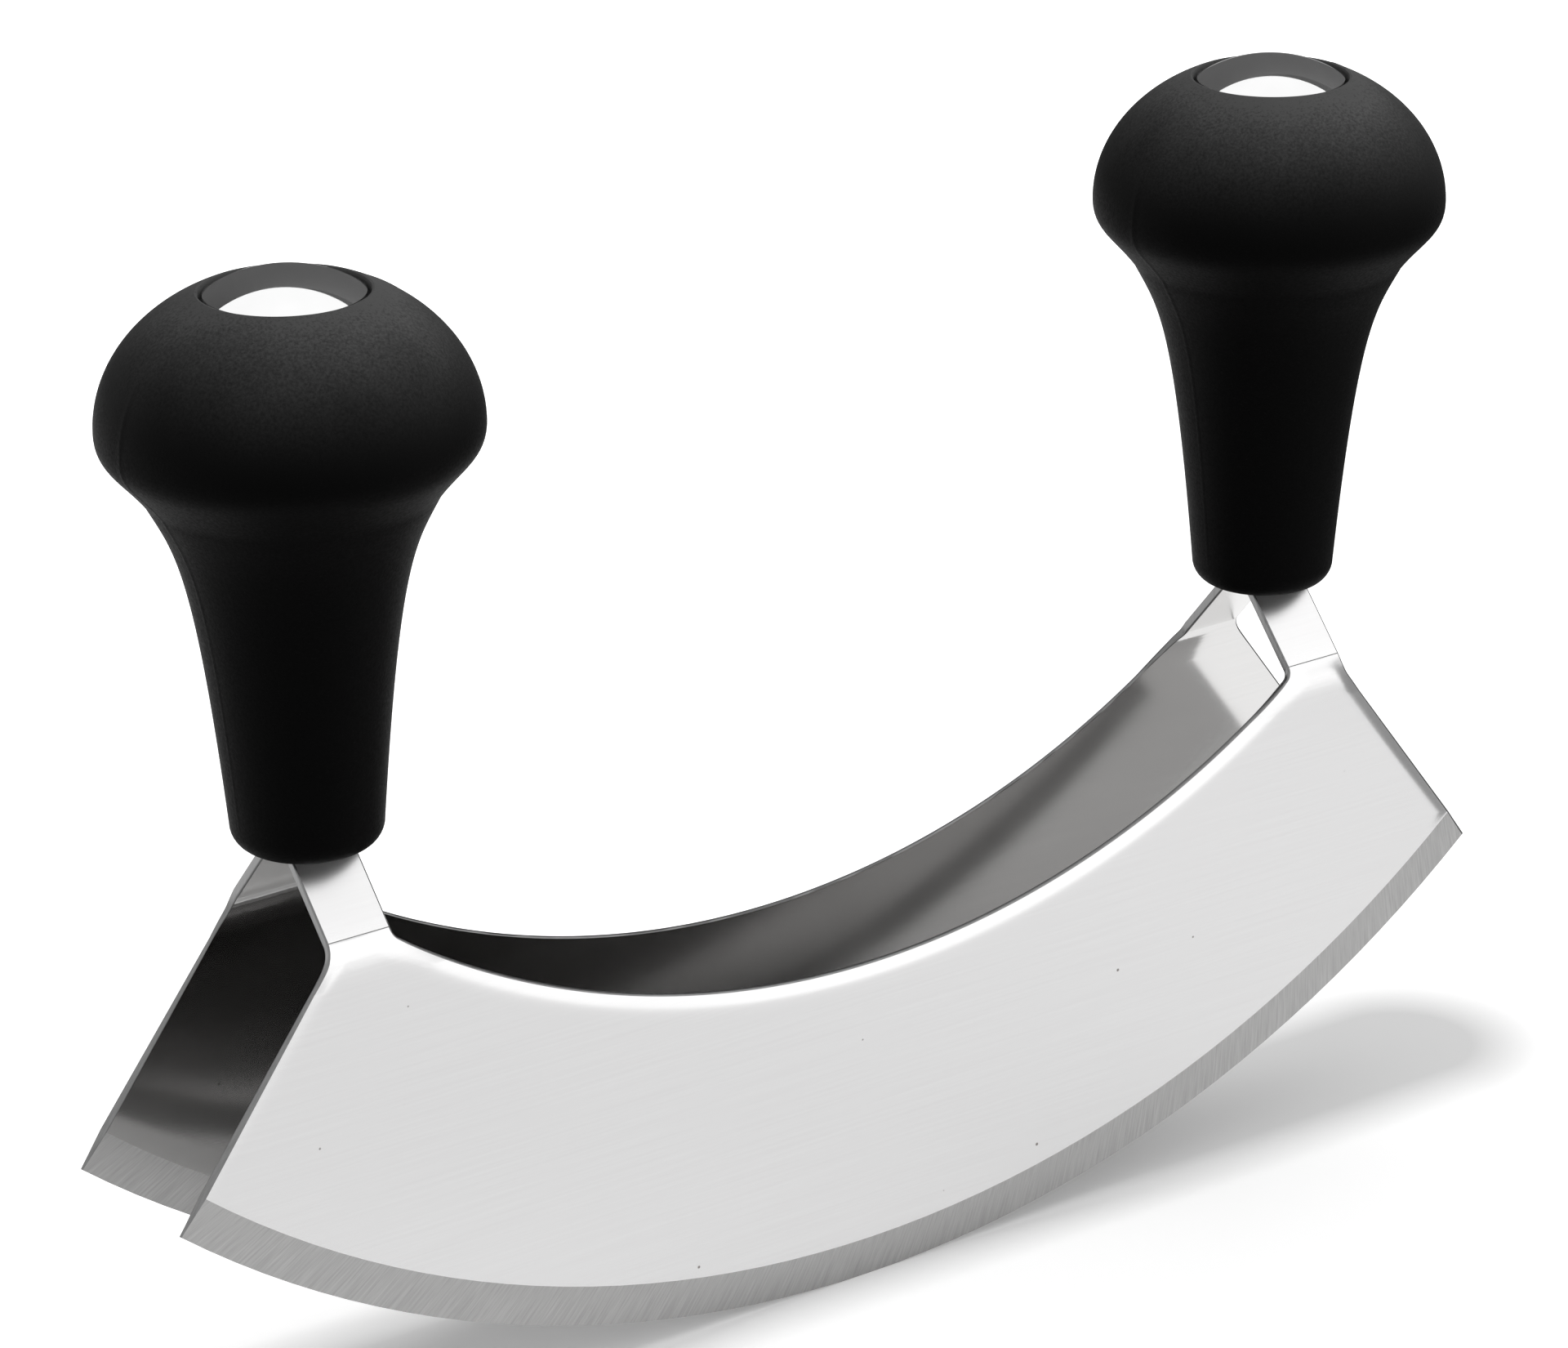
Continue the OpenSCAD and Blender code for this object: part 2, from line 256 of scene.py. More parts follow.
def pressed_blade(name, side):
    """Stamps, grinds and bends one blade; side is 1 for the rear one, -1 in front."""
    bm = flat_blank()
    body = [f for f in bm.faces if f.material_index == outer_face]
    for width in rim_rows:
        bmesh.ops.inset_region(
            bm, faces=body, thickness=width, use_even_offset=True, use_boundary=True
        )
    raised = bmesh.ops.extrude_face_region(bm, geom=bm.faces[:])["geom"]
    bmesh.ops.translate(
        bm, verts=[v for v in raised if isinstance(v, bmesh.types.BMVert)], vec=(0, sheet, 0)
    )
    bmesh.ops.translate(bm, verts=bm.verts, vec=(0, -sheet / 2, 0))
    bmesh.ops.recalc_face_normals(bm, faces=bm.faces[:])
    for face in bm.faces:
        if abs(face.normal.y) < 0.5:
            face.material_index = rim_face
    corners = [
        e for e in bm.edges
        if e.is_manifold and e.calc_face_angle() > 1
        and min(off_edge(v.co) for v in e.verts) < edge_radius - snap
    ]
    rounded = bmesh.ops.bevel(
        bm, geom=corners, offset=rim_round, segments=3, profile=0.5, affect="EDGES", material=-1
    )
    # The rounded edges take the dark rim steel too, a painted dark reflection along the rim.
    for face in rounded["faces"]:
        face.material_index = rim_face
    cuts = [bend_z + wide_length * i / 6 for i in range(6)]
    cuts += [wide_z + tight_length * i / 8 for i in range(9)]
    cuts += [upper_z + upper_length * i / 6 for i in range(7)]
    cuts += [lean_z - tool_mark, lean_z + tool_mark]
    for height in cuts:
        bmesh.ops.bisect_plane(
            bm,
            geom=bm.verts[:] + bm.edges[:] + bm.faces[:],
            plane_co=(0, 0, height),
            plane_no=(0, 0, 1),
            dist=hairline,
        )
    for vertex in bm.verts:
        point = vertex.co
        ground = off_edge(point) - line_radius
        if ground > 0:
            point.y *= 1 - min(1, ground / grind_height) * (1 - edge_land / sheet)
        elif point.y > 0:
            ear_share = min(1, max(0, (pull_end_z - point.z) / pull_fade))
            line_share = min(1, -ground / grind_fade)
            point.y -= pulled(from_rim(point)) * ear_share * line_share
            if abs(point.z - lean_z) < snap:
                point.y -= tool_mark_depth
    for face in bm.faces:
        if face.material_index == outer_face and face.normal.y < 0:
            face.material_index = inner_face
        # Painted shade: the flanks of the tool mark take the dark rim steel, so the shallow
        # groove shows as a dark line.
        elif abs(face.calc_center_median().z - lean_z) < tool_mark:
            face.material_index = rim_face
    for vertex in bm.verts:
        vertex.co = bent(vertex.co)
    if side < 0:
        bmesh.ops.scale(bm, verts=bm.verts, vec=(1, -1, 1))
        bmesh.ops.reverse_faces(bm, faces=bm.faces)
    for edge in bm.edges:
        kinds = {f.material_index for f in edge.link_faces}
        at_grind = ground_face in kinds and len(kinds) > 1
        edge.smooth = not at_grind and edge.calc_face_angle() < radians(30)
    for face in bm.faces:
        face.smooth = True
    mesh = bpy.data.meshes.new(name)
    bm.to_mesh(mesh)
    bm.free()
    return mesh


def punch_rivet_holes(blade):
    """Punches the two rivet holes through each of a blade's tangs."""
    bm = bmesh.new()
    for handle_side in (-1, 1):
        for step in (-0.5, 0.5):
            place = Vector((handle_side * handle_x, 0, rivet_z + step * rivet_pitch))
            bmesh.ops.create_cone(
                bm,
                cap_ends=True,
                segments=32,
                radius1=rivet_hole,
                radius2=rivet_hole,
                depth=punch_length,
                matrix=Matrix.Translation(place) @ Matrix.Rotation(pi / 2, 4, "X"),
            )
    punch_mesh = bpy.data.meshes.new("rivet_punch")
    bm.to_mesh(punch_mesh)
    bm.free()
    punch = bpy.data.objects.new("rivet_punch", punch_mesh)
    scene.collection.objects.link(punch)
    cut = blade.modifiers.new("rivet_holes", "BOOLEAN")
    cut.object = punch
    cut.operation = "DIFFERENCE"
    cut.solver = "EXACT"
    bpy.context.view_layer.update()
    holed = bpy.data.meshes.new_from_object(
        blade.evaluated_get(bpy.context.evaluated_depsgraph_get())
    )
    blade.modifiers.remove(cut)
    whole = blade.data
    blade.data = holed
    bpy.data.meshes.remove(whole)
    holed.name = blade.name
    bpy.data.objects.remove(punch)
    bpy.data.meshes.remove(punch_mesh)


def add_piece(name, mesh, stands_for, materials):
    """Puts a piece in the scene: it stands for a node and rides on the one body."""
    piece = bpy.data.objects.new(name, mesh)
    scene.collection.objects.link(piece)
    for material in materials:
        mesh.materials.append(material)
    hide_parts(stands_for)
    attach(piece, "root")
    return piece


def add_node(tree, kind, inputs, **settings):
    """Adds a shader node; inputs gives a socket to link or a value, by name or number."""
    node = tree.nodes.new("ShaderNode" + kind)
    for name, value in settings.items():
        setattr(node, name, value)
    for name, value in inputs.items():
        if isinstance(value, bpy.types.NodeSocket):
            tree.links.new(value, node.inputs[name])
        else:
            node.inputs[name].default_value = value
    return node


def add_group(name, numbers, output):
    """A node group that makes one number from a place and some numbers."""
    tree = bpy.data.node_groups.new(name, "ShaderNodeTree")
    tree.interface.new_socket("Place", in_out="INPUT", socket_type="NodeSocketVector")
    for label in numbers:
        tree.interface.new_socket(label, in_out="INPUT", socket_type="NodeSocketFloat")
    tree.interface.new_socket(output, in_out="OUTPUT", socket_type="NodeSocketFloat")
    source = tree.nodes.new("NodeGroupInput").outputs
    target = tree.nodes.new("NodeGroupOutput").inputs[output]
    return tree, source, target


def from_group(tree, group, place, **numbers):
    """Places a node group in a material and returns what it puts out."""
    inputs = {label.title(): number for label, number in numbers.items()}
    return add_node(tree, "Group", {"Place": place, **inputs}, node_tree=group).outputs[0]


def add_material(name, metallic, specular=0.5):
    """A new material; returns it, its node tree and its shader."""
    material = bpy.data.materials.new(name)
    material.use_nodes = True
    shader = material.node_tree.nodes["Principled BSDF"]
    shader.inputs["Metallic"].default_value = metallic
    shader.inputs["Specular IOR Level"].default_value = specular
    return material, material.node_tree, shader


def object_place(tree):
    """Where a point of the surface is, in metres."""
    return add_node(tree, "TexCoord", {}).outputs["Object"]


def worked_out(tree, operation, *values, **settings):
    """The result of a sum on numbers."""
    node = add_node(tree, "Math", dict(enumerate(values)), operation=operation, **settings)
    return node.outputs[0]


def in_range(tree, value, low, high, from_low=0.0, from_high=1.0):
    """The value moved from one range to another, and kept inside it."""
    return add_node(tree, "MapRange", {
        "Value": value,
        "From Min": from_low,
        "From Max": from_high,
        "To Min": low,
        "To Max": high,
    }).outputs["Result"]


def shaded(tree, amount, dark, light):
    """A colour between dark and light."""
    mix = add_node(tree, "Mix", {"Factor": amount}, data_type="RGBA")
    mix.inputs["A"].default_value = (*dark, 1)
    mix.inputs["B"].default_value = (*light, 1)
    return mix.outputs["Result"]


# Lines that abrasive leaves: they run along the second coordinate of Place
lines_group, source, target = add_group("abrasive_lines", ["Across", "Along"], "Lines")
stretch = add_node(lines_group, "CombineXYZ", {0: source["Across"], 1: source["Along"], 2: 1.0})
stretched = add_node(
    lines_group, "VectorMath", {0: source["Place"], 1: stretch.outputs[0]}, operation="MULTIPLY"
)
scratches = add_node(
    lines_group, "TexNoise",
    {"Vector": stretched.outputs[0], "Scale": 1.0, "Detail": 4.0, "Roughness": 0.6},
)
lines_group.links.new(scratches.outputs["Fac"], target)

# Cloudy marks of handling
clouds_group, source, target = add_group("handling_clouds", ["Scale"], "Clouds")
smears = add_node(
    clouds_group, "TexNoise", {"Vector": source["Place"], "Scale": source["Scale"], "Detail": 3.0}
)
clouds_group.links.new(
    in_range(clouds_group, smears.outputs["Fac"], 0.0, 1.0, 0.3, 0.7), target
)

# A few tiny dark specks on an upright face: only some cells of a pattern hold one
specks_group, source, target = add_group("dark_specks", ["Scale"], "Specks")
parts = add_node(specks_group, "SeparateXYZ", {0: source["Place"]}).outputs
faced = add_node(specks_group, "CombineXYZ", {0: parts["X"], 1: parts["Z"]}).outputs[0]
cells = add_node(
    specks_group, "TexVoronoi", {"Vector": faced, "Scale": source["Scale"]},
    voronoi_dimensions="2D",
).outputs
tint = add_node(specks_group, "SeparateColor", {"Color": cells["Color"]}).outputs[0]
speck_size = in_range(specks_group, tint, 0.0, 0.02, 0.75, 1.0)
speck_edge = worked_out(specks_group, "SUBTRACT", speck_size, cells["Distance"])
specks_group.links.new(in_range(specks_group, speck_edge, 0.0, 1.0, 0.0, 0.01), target)


def add_bump(tree, shader, height, strength, distance):
    """Feeds a height to the shader's normal."""
    bump = add_node(tree, "Bump", {"Height": height, "Strength": strength, "Distance": distance})
    tree.links.new(bump.outputs["Normal"], shader.inputs["Normal"])


def polished_face(name, dark, light, smooth, rough):
    """Polished stainless face with faint level lines, cloudy wiping marks and specks."""
    material, tree, shader = add_material(name, 1)
    place = object_place(tree)
    parts = add_node(tree, "SeparateXYZ", {0: place}).outputs
    level = add_node(tree, "CombineXYZ", {0: parts["Z"], 1: parts["X"], 2: parts["Y"]}).outputs[0]
    lines = from_group(tree, lines_group, level, across=2600, along=40)
    clouds = from_group(tree, clouds_group, place, scale=28)
    specks = from_group(tree, specks_group, place, scale=75)
    dull_ear = in_range(tree, parts["Z"], 0.0, 0.08, kink_z, kink_z + kink_reach)
    dull = worked_out(tree, "ADD", in_range(tree, clouds, smooth, rough), dull_ear)
    tree.links.new(dull, shader.inputs["Roughness"])
    colour = add_node(
        tree, "Mix", {"Factor": specks, "A": shaded(tree, lines, dark, light)}, data_type="RGBA"
    )
    colour.inputs["B"].default_value = (0.22, 0.2, 0.19, 1)
    tree.links.new(colour.outputs["Result"], shader.inputs["Base Color"])
    add_bump(tree, shader, lines, 0.06, 0.02 * mm)
    return material


def ground_bevel():
    """Ground steel: fine slanting scratches that run from the face to the edge."""
    material, tree, shader = add_material("ground_bevel", 1)
    about_centre = add_node(
        tree, "VectorMath", {0: object_place(tree), 1: tuple(edge_centre)}, operation="SUBTRACT"
    ).outputs[0]
    parts = add_node(tree, "SeparateXYZ", {0: about_centre}).outputs
    drop = worked_out(tree, "MULTIPLY", parts["Z"], -1.0)
    angle = worked_out(tree, "ARCTAN2", parts["X"], drop)
    flat = add_node(tree, "CombineXYZ", {0: parts["X"], 2: parts["Z"]}).outputs[0]
    reach = add_node(tree, "VectorMath", {0: flat}, operation="LENGTH").outputs["Value"]
    arc = worked_out(tree, "MULTIPLY", angle, edge_radius)
    slant = worked_out(tree, "MULTIPLY_ADD", reach, 0.4, arc)
    unrolled = add_node(tree, "CombineXYZ", {0: slant, 1: reach, 2: parts["Y"]}).outputs[0]
    lines = from_group(tree, lines_group, unrolled, across=3600, along=160)
    bands = from_group(tree, lines_group, unrolled, across=260, along=60)
    tree.links.new(in_range(tree, bands, 0.38, 0.46), shader.inputs["Roughness"])
    strong = in_range(tree, lines, 0.0, 1.0, 0.3, 0.7)
    # Painted shade: the ground steel is made dark, standing for the shaded table near the edge
    # that the bevel mirrors.
    colour = shaded(tree, strong, (0.34, 0.338, 0.336), (0.45, 0.447, 0.445))
    tree.links.new(colour, shader.inputs["Base Color"])
    add_bump(tree, shader, lines, 0.3, 0.03 * mm)
    return material


def sheared_rim():
    """Stamped and deburred edge of the sheet: rougher than the faces, and darker, partly as a
    sheared edge and partly as a painted dark reflection.
    """
    material, tree, shader = add_material("sheared_rim", 1)
    lines = from_group(tree, lines_group, object_place(tree), across=900, along=2600)
    tree.links.new(in_range(tree, lines, 0.25, 0.42), shader.inputs["Roughness"])
    colour = shaded(tree, lines, (0.14, 0.14, 0.14), (0.26, 0.26, 0.26))
    tree.links.new(colour, shader.inputs["Base Color"])
    add_bump(tree, shader, lines, 0.2, 0.02 * mm)
    return material


outside = polished_face(
    "polished_outside", (0.67, 0.664, 0.666), (0.72, 0.72, 0.72), smooth=0.18, rough=0.24
)
bevel = ground_bevel()
rim = sheared_rim()
rear_inside = polished_face(
    "rear_inside", (0.71, 0.705, 0.7), (0.77, 0.765, 0.76), smooth=0.08, rough=0.13
)
# Painted shade: the front blade's inner face has a much darker steel than the rear one, so the
# channel between the blades mirrors dark.
front_inside_painted_shade = polished_face(
    "front_inside_painted_shade", (0.26, 0.257, 0.255), (0.32, 0.317, 0.314), smooth=0.08, rough=0.13
)
for name, stands_for, side, inside in (
    ("front_blade_sheet", "front_blade", -1, front_inside_painted_shade),
    ("rear_blade_sheet", "rear_blade", 1, rear_inside),
):
    blade = add_piece(
        name, pressed_blade(name, side), stands_for, [outside, bevel, rim, inside]
    )
    punch_rivet_holes(blade)
    normals = blade.modifiers.new("face_normals", "WEIGHTED_NORMAL")
    normals.keep_sharp = True

# Tie rods and rivets
# A forked steel rod straddles the two tangs in each handle, and two rivets pin
# them together. All of it is zinc plated and hidden once the handle is on.


def zinc_plate():
    """Zinc plating: cool grey, with fine turned lines and cloudy stains."""
    material, tree, shader = add_material("zinc_plate", 1)
    place = object_place(tree)
    parts = add_node(tree, "SeparateXYZ", {0: place}).outputs
    level = add_node(tree, "CombineXYZ", {0: parts["Z"], 1: parts["X"], 2: parts["Y"]}).outputs[0]
    lines = from_group(tree, lines_group, level, across=4000, along=120)
    clouds = from_group(tree, clouds_group, place, scale=220)
    tree.links.new(in_range(tree, clouds, 0.26, 0.44), shader.inputs["Roughness"])
    colour = shaded(tree, clouds, (0.5, 0.52, 0.55), (0.68, 0.69, 0.72))
    tree.links.new(colour, shader.inputs["Base Color"])
    add_bump(tree, shader, lines, 0.25, 0.03 * mm)
    return material


def dress(node_names, material):
    """Gives CAD nodes that stay in view a finish."""
    for node_name in node_names:
        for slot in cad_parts[node_name].material_slots:
            slot.material = material


zinc = zinc_plate()
dress(["left_tie_rod", "right_tie_rod", "left_tang_rivets", "right_tang_rivets"], zinc)

# Handle cores and mouth plugs
# The rigid core is moulded from black plastic and carries the rod and the nut.
# A plug of the same plastic closes its mouth round the two tangs.

# Fine grain of a moulded surface
grain_group, source, target = add_group("moulded_grain", ["Scale"], "Grain")
pits = add_node(
    grain_group, "TexNoise",
    {"Vector": source["Place"], "Scale": source["Scale"], "Detail": 2.0, "Roughness": 0.7},
)
grain_group.links.new(in_range(grain_group, pits.outputs["Fac"], 0.0, 1.0, 0.3, 0.7), target)


def moulded_plastic():
    """Hard black plastic as it comes from the mould: satin, with faint flow marks."""
    material, tree, shader = add_material("moulded_plastic", 0)
    place = object_place(tree)
    grain = from_group(tree, grain_group, place, scale=3000)
    clouds = from_group(tree, clouds_group, place, scale=120)
    tree.links.new(in_range(tree, clouds, 0.38, 0.52), shader.inputs["Roughness"])
    colour = shaded(tree, clouds, (0.014, 0.014, 0.015), (0.026, 0.026, 0.027))
    tree.links.new(colour, shader.inputs["Base Color"])
    add_bump(tree, shader, grain, 0.2, 0.03 * mm)
    return material


plastic = moulded_plastic()
dress(
    ["left_handle_core", "right_handle_core", "left_mouth_plug", "right_mouth_plug"], plastic
)

# Grips
# A soft black skin is moulded over each core: a tapered stem that opens into a
# mushroom knob, with a soft crease where the two meet and a lip round the cap.
grip_low, grip_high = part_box("left_grip")
grip_base_z = grip_low.z
knob_radius = (grip_high.x - grip_low.x) / 2
skin = 1.6 * mm
mouth_radius = 6.08 * mm
foot_radius = 9.18 * mm
foot_round = 3 * mm
crease = Vector((17.4 * mm, 0, grip_base_z + 43.8 * mm))
girth = Vector((knob_radius, 0, crease.z + 8 * mm))
crown_height = 18.1 * mm
stem_flare = 32.64 * mm * Vector((0.086, 0, 1))
stem_sweep = 7.1 * mm * Vector((sin(radians(28)), 0, cos(radians(28))))
knob_sweep = 5.3 * mm * Vector((sin(radians(37)), 0, cos(radians(37))))
girth_sweep = 3.3 * mm
cap_low, cap_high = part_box("left_end_cap")
cap_rim_radius = (cap_high.x - cap_low.x) / 2
rim_gap = 0.4 * mm
skirt_depth = 5 * mm
lip_radius = cap_rim_radius + rim_gap
lip_round = 0.35 * mm
cap_seat_z = cap_low.z + skirt_depth
core_top_radius = lip_radius + skin / 2
seam_width = 0.5 * mm
seam_height = 0.05 * mm


def curved(start, first, second, end, steps):
    """Points of a smooth curve from start to end, the start left out."""
    return [
        (1 - t)**3 * start + 3 * (1 - t)**2 * t * first + 3 * (1 - t) * t**2 * second + t**3 * end
        for t in (i / steps for i in range(1, steps + 1))
    ]


def arc_points(centre, radius_x, radius_z, start, end, steps):
    """Points on an arc of a circle or an ellipse, seen from the side."""
    return [
        centre + Vector((radius_x * cos(a), 0, radius_z * sin(a)))
        for a in (start + (end - start) * i / steps for i in range(steps + 1))
    ]


def moved_in(points, depth):
    """The same line of points, moved to its left by a depth."""
    moved = []
    for i, point in enumerate(points):
        way = (points[min(i + 1, len(points) - 1)] - points[max(i - 1, 0)]).normalized()
        moved.append(point + depth * Vector((-way.z, 0, way.x)))
    return moved


def turned(name, points, centre_x, closed):
    """Spins a side view about a handle's axis, as on a lathe."""
    bm = bmesh.new()
    line = [bm.verts.new(point + Vector((centre_x, 0, 0))) for point in points]
    ends = zip(line, line[1:] + line[:1] if closed else line[1:])
    edges = [bm.edges.new(pair) for pair in ends]
    bmesh.ops.spin(
        bm,
        geom=line + edges,
        cent=(centre_x, 0, 0),
        axis=(0, 0, 1),
        angle=2 * pi,
        steps=128,
        use_merge=True,
    )
    bmesh.ops.remove_doubles(bm, verts=bm.verts, dist=hairline)
    bmesh.ops.recalc_face_normals(bm, faces=bm.faces[:])
    for edge in bm.edges:
        edge.smooth = edge.calc_face_angle() < radians(35)
    for face in bm.faces:
        face.smooth = True
    mesh = bpy.data.meshes.new(name)
    bm.to_mesh(mesh)
    bm.free()
    return mesh


stem_start = Vector((foot_radius, 0, grip_base_z + foot_round))
foot_centre = stem_start - Vector((foot_round, 0, 0))
crown_turn = acos((lip_radius + lip_round) / knob_radius)
skin_line = arc_points(foot_centre, foot_round, foot_round, -pi / 2, 0, 10)
skin_line += curved(stem_start, stem_start + stem_flare, crease - stem_sweep, crease, 40)
skin_line += curved(
    crease, crease + knob_sweep, girth - Vector((0, 0, girth_sweep)), girth, 16
)
skin_line += arc_points(
    Vector((0, 0, girth.z)), knob_radius, crown_height, 0, crown_turn, 36
)[1:]
lip_top = skin_line[-1]
inner_line = [
    point for point in moved_in(skin_line, skin)
    if point.z < girth.z
    or (point.x > core_top_radius + skin / 2 and point.z < cap_seat_z - skin / 2)
]
grip_line = [Vector((mouth_radius, 0, grip_base_z))] + skin_line + [
    Vector((lip_radius + 0.1 * mm, 0, lip_top.z - 0.06 * mm)),
    Vector((lip_radius, 0, lip_top.z - lip_round)),
    Vector((lip_radius, 0, cap_seat_z)),
    Vector((core_top_radius, 0, cap_seat_z)),
] + inner_line[::-1] + [Vector((mouth_radius, 0, grip_base_z + skin))]


def soft_skin():
    """Soft matt rubber: black below and lighter towards the top as painted light from above, in
    patches and with a fine grain.
    """
    material, tree, shader = add_material("soft_skin", 0, specular=0.03)
    place = object_place(tree)
    height = add_node(tree, "SeparateXYZ", {0: place}).outputs["Z"]
    grain = from_group(tree, grain_group, place, scale=2600)
    clouds = from_group(tree, clouds_group, place, scale=50)
    # Painted light: the base colour lightens towards the top of the knob as if lit from above,
    # broken into patches by the clouds.
    rise = in_range(tree, height, 0.0, 1.0, girth.z - 2 * mm, lip_top.z)
    top = worked_out(tree, "POWER", rise, 2.6)
    painted_top_light = worked_out(tree, "MULTIPLY", top, in_range(tree, clouds, 0.65, 1.35))
    speckled = worked_out(tree, "MULTIPLY", in_range(tree, grain, 0.65, 1.35), painted_top_light)
    colour = shaded(tree, speckled, (0.0006, 0.0006, 0.0006), (0.098, 0.098, 0.098))
    tree.links.new(colour, shader.inputs["Base Color"])
    tree.links.new(in_range(tree, grain, 0.5, 0.65), shader.inputs["Roughness"])
    add_bump(tree, shader, grain, 0.25, 0.04 * mm)
    return material


def with_seam(mesh):
    """Raises the faint seam that the two halves of the mould leave on a grip."""
    bm = bmesh.new()
    bm.from_mesh(mesh)
    for offset in (-seam_width / 2, seam_width / 2):
        bmesh.ops.bisect_plane(
            bm,
            geom=bm.verts[:] + bm.edges[:] + bm.faces[:],
            plane_co=(0, offset, 0),
            plane_no=(0, 1, 0),
            dist=hairline,
        )
    bm.normal_update()
    for vertex in bm.verts:
        if abs(vertex.co.y) < snap and vertex.co.z > stem_start.z:
            vertex.co += vertex.normal * seam_height
    bm.to_mesh(mesh)
    bm.free()
    return mesh


rubber = soft_skin()
for side, name in ((-1, "left"), (1, "right")):
    add_piece(
        name + "_grip_skin",
        with_seam(turned(name + "_grip_skin", grip_line, side * handle_x, True)),
        name + "_grip",
        [rubber],
    )

# Washers and lock nuts
# A zinc-plated washer and lock nut draw each rod up against its core. They lie in
# a well in the top of the core, which the end cap closes.
dress(["left_washer", "right_washer", "left_lock_nut", "right_lock_nut"], zinc)

# End caps
# Each knob is closed by a drawn and mirror-polished steel cap: a low dome with a
# rolled rim that sits on the core, and a skirt pressed into the nut's well.
cap_sheet = 1 * mm
skirt_radius = 8.6 * mm
cap_rim_z = cap_seat_z + cap_sheet
dome_height = cap_high.z - cap_rim_z
dome_radius = (cap_rim_radius**2 + dome_height**2) / (2 * dome_height)
dome_centre = Vector((0, 0, cap_high.z - dome_radius))
rim_angle = acos((cap_rim_radius - 0.1 * mm) / dome_radius)
throat_angle = acos((skirt_radius - cap_sheet) / (dome_radius - cap_sheet))
rolled = 0.35 * mm
cap_line = arc_points(
    dome_centre, dome_radius - cap_sheet, dome_radius - cap_sheet, pi / 2, throat_angle, 24
)
cap_line += [
    Vector((skirt_radius - cap_sheet, 0, cap_low.z)),
    Vector((skirt_radius, 0, cap_low.z)),
    Vector((skirt_radius, 0, cap_seat_z)),
]
cap_line += arc_points(
    Vector((cap_rim_radius - rolled, 0, cap_seat_z + rolled)), rolled, rolled, -pi / 2, 0, 6
)
cap_line += arc_points(dome_centre, dome_radius, dome_radius, rim_angle, pi / 2, 40)


def mirror_polish():
    """Mirror-polished steel with the faintest wiping marks."""
    material, tree, shader = add_material("mirror_polish", 1)
    place = object_place(tree)
    clouds = from_group(tree, clouds_group, place, scale=160)
    tree.links.new(in_range(tree, clouds, 0.02, 0.07), shader.inputs["Roughness"])
    colour = shaded(tree, clouds, (0.95, 0.95, 0.95), (0.99, 0.99, 0.99))
    tree.links.new(colour, shader.inputs["Base Color"])
    lines = from_group(tree, lines_group, place, across=3000, along=3000)
    add_bump(tree, shader, lines, 0.02, 0.01 * mm)
    return material


polish = mirror_polish()
for side, name in ((-1, "left"), (1, "right")):
    add_piece(
        name + "_cap_dome",
        turned(name + "_cap_dome", cap_line, side * handle_x, False),
        name + "_end_cap",
        [polish],
    )

# Floor and light
# A white table under a large soft light overhead and a tall one to the front right.
# Two grey cards stand where only polished steel shows them, as the dark sides of a
# studio do, and the table shows white wherever the tool doesn't shade it.
floor_mesh = bpy.data.meshes.new("floor")
bm = bmesh.new()
bmesh.ops.create_grid(bm, x_segments=1, y_segments=1, size=3)
bm.to_mesh(floor_mesh)
bm.free()
floor = bpy.data.objects.new("floor", floor_mesh)
scene.collection.objects.link(floor)


def matt_grey(name, grey, roughness):
    """A matt material that can glow white; returns it, its tree and its shader."""
    material, tree, shader = add_material(name, 0, specular=0.0)
    shader.inputs["Base Color"].default_value = (grey, grey, grey, 1)
    shader.inputs["Roughness"].default_value = roughness
    shader.inputs["Emission Color"].default_value = (1, 1, 1, 1)
    return material, tree, shader


def seen_by(tree):
    """1 where the camera, a reflection or glass looks at a surface, and 0 for its light."""
    path = add_node(tree, "LightPath", {}).outputs
    mirrored = worked_out(tree, "ADD", path["Is Camera Ray"], path["Is Glossy Ray"])
    return worked_out(tree, "ADD", mirrored, path["Is Transmission Ray"], use_clamp=True)


# The table glows beside the tool, far from it, away from the front light and behind the tool, but
# not under it: this glow is painted light that whitens the table where the lamps leave it dim and
# lightens the tool's shadow beside and behind it
table_top, tree, shader = matt_grey("table_top", 0.88, 0.8)
place = object_place(tree)
spread = add_node(tree, "VectorMath", {0: place}, operation="ABSOLUTE").outputs[0]
clear_of_tool = add_node(
    tree, "VectorMath", {0: spread, 1: (tip_x, 0, 0)}, operation="SUBTRACT"
).outputs[0]
beyond = add_node(
    tree, "VectorMath", {0: clear_of_tool, 1: (0, 0, 0)}, operation="MAXIMUM"
).outputs[0]
aside = add_node(tree, "VectorMath", {0: beyond}, operation="LENGTH").outputs["Value"]
away_from_light = (-sin(radians(36)), cos(radians(36)), 0)
away = add_node(
    tree, "VectorMath", {0: place, 1: away_from_light}, operation="DOT_PRODUCT"
).outputs["Value"]
behind = add_node(tree, "SeparateXYZ", {0: place}).outputs["Y"]
glow = in_range(tree, aside, 0.0, 0.41, 10 * mm, 20 * mm)
for distance, strength, start, end in (
    (aside, 0.35, 300 * mm, 600 * mm),
    (away, 0.35, -50 * mm, 300 * mm),
    (behind, 0.2, 12 * mm, 50 * mm),
):
    more = in_range(tree, distance, 0.0, strength, start, end)
    glow = worked_out(tree, "ADD", glow, more, use_clamp=True)
glow = worked_out(tree, "MULTIPLY", glow, seen_by(tree))
tree.links.new(glow, shader.inputs["Emission Strength"])
floor_mesh.materials.append(table_top)


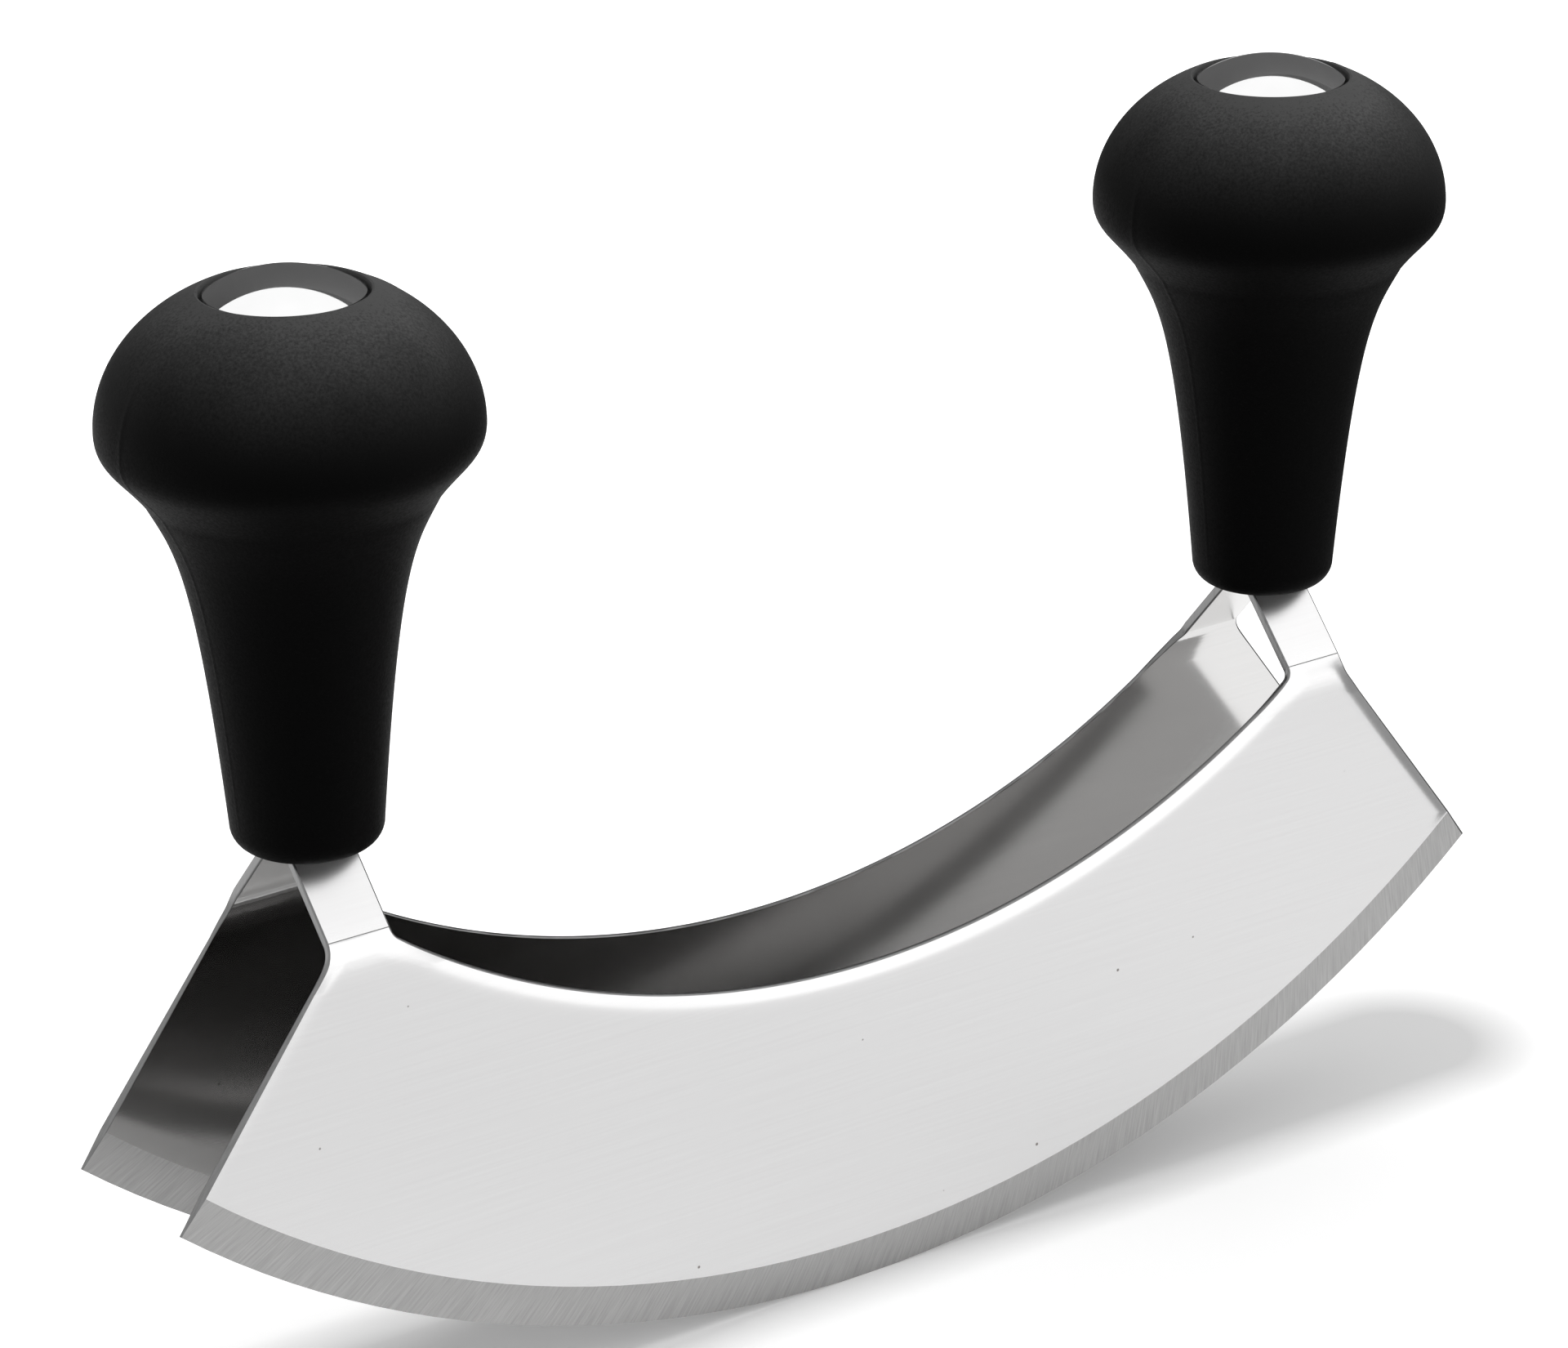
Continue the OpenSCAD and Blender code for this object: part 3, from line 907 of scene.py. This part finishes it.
def add_softbox(name, place, aim, width, height, radiance, mirrored):
    """A rectangular soft light that the camera, and if wished metal, doesn't see."""
    light = bpy.data.lights.new(name, "AREA")
    light.shape = "RECTANGLE"
    light.size = width
    light.size_y = height
    light.energy = radiance * pi * width * height
    lamp = bpy.data.objects.new(name, light)
    lamp.location = place
    lamp.rotation_euler = (Vector(aim) - Vector(place)).to_track_quat("-Z", "Y").to_euler()
    lamp.visible_camera = False
    lamp.visible_glossy = mirrored
    scene.collection.objects.link(lamp)


add_softbox(
    "overhead_softbox", place=(0.44, 0.14, 0.84), aim=(0, 0, 0.1),
    width=1.15, height=1.15, radiance=1.1, mirrored=False,
)
for name, radiance, mirrored in (
    ("front_right_softbox", 0.5, True),
    ("front_right_fill", 0.72, False),
):
    add_softbox(
        name, place=(0.52, -0.62, 0.55), aim=(0, 0, 0.55),
        width=1.4, height=1.1, radiance=radiance, mirrored=mirrored,
    )


def add_card(name, place, turn, width, height, grey, glow):
    """An upright grey card on the table, which shows only in polished metal."""
    mesh = bpy.data.meshes.new(name)
    bm = bmesh.new()
    bmesh.ops.create_grid(
        bm,
        x_segments=1,
        y_segments=1,
        size=0.5,
        matrix=Matrix.Translation(place + Vector((0, 0, height / 2)))
        @ Matrix.Rotation(turn, 4, "Z")
        @ Matrix.Rotation(pi / 2, 4, "X")
        @ Matrix.Diagonal((width, height, 1, 1)),
    )
    bm.to_mesh(mesh)
    bm.free()
    material, _, shader = matt_grey(name, grey, 0.9)
    shader.inputs["Emission Strength"].default_value = glow
    mesh.materials.append(material)
    card = bpy.data.objects.new(name, mesh)
    scene.collection.objects.link(card)
    card.visible_camera = False
    card.visible_diffuse = False
    card.visible_shadow = False
    card.visible_transmission = False


add_card(
    "rear_card", place=Vector((0.33, 0.46, 0)), turn=view_azimuth,
    width=1.6, height=0.86, grey=0.17, glow=0,
)
add_card(
    "right_card", place=Vector((0.205, 0.06, 0)), turn=pi / 2,
    width=0.38, height=0.13, grey=0.1, glow=0.3,
)

scene.world = bpy.data.worlds.new("studio")
scene.world.use_nodes = True
tree = scene.world.node_tree
background = tree.nodes["Background"]
background.inputs["Color"].default_value = (1, 1, 1, 1)
tree.links.new(in_range(tree, seen_by(tree), 0.3, 1.0), background.inputs["Strength"])

scene.view_settings.view_transform = "Standard"
scene.cycles.max_bounces = 16
scene.cycles.glossy_bounces = 12
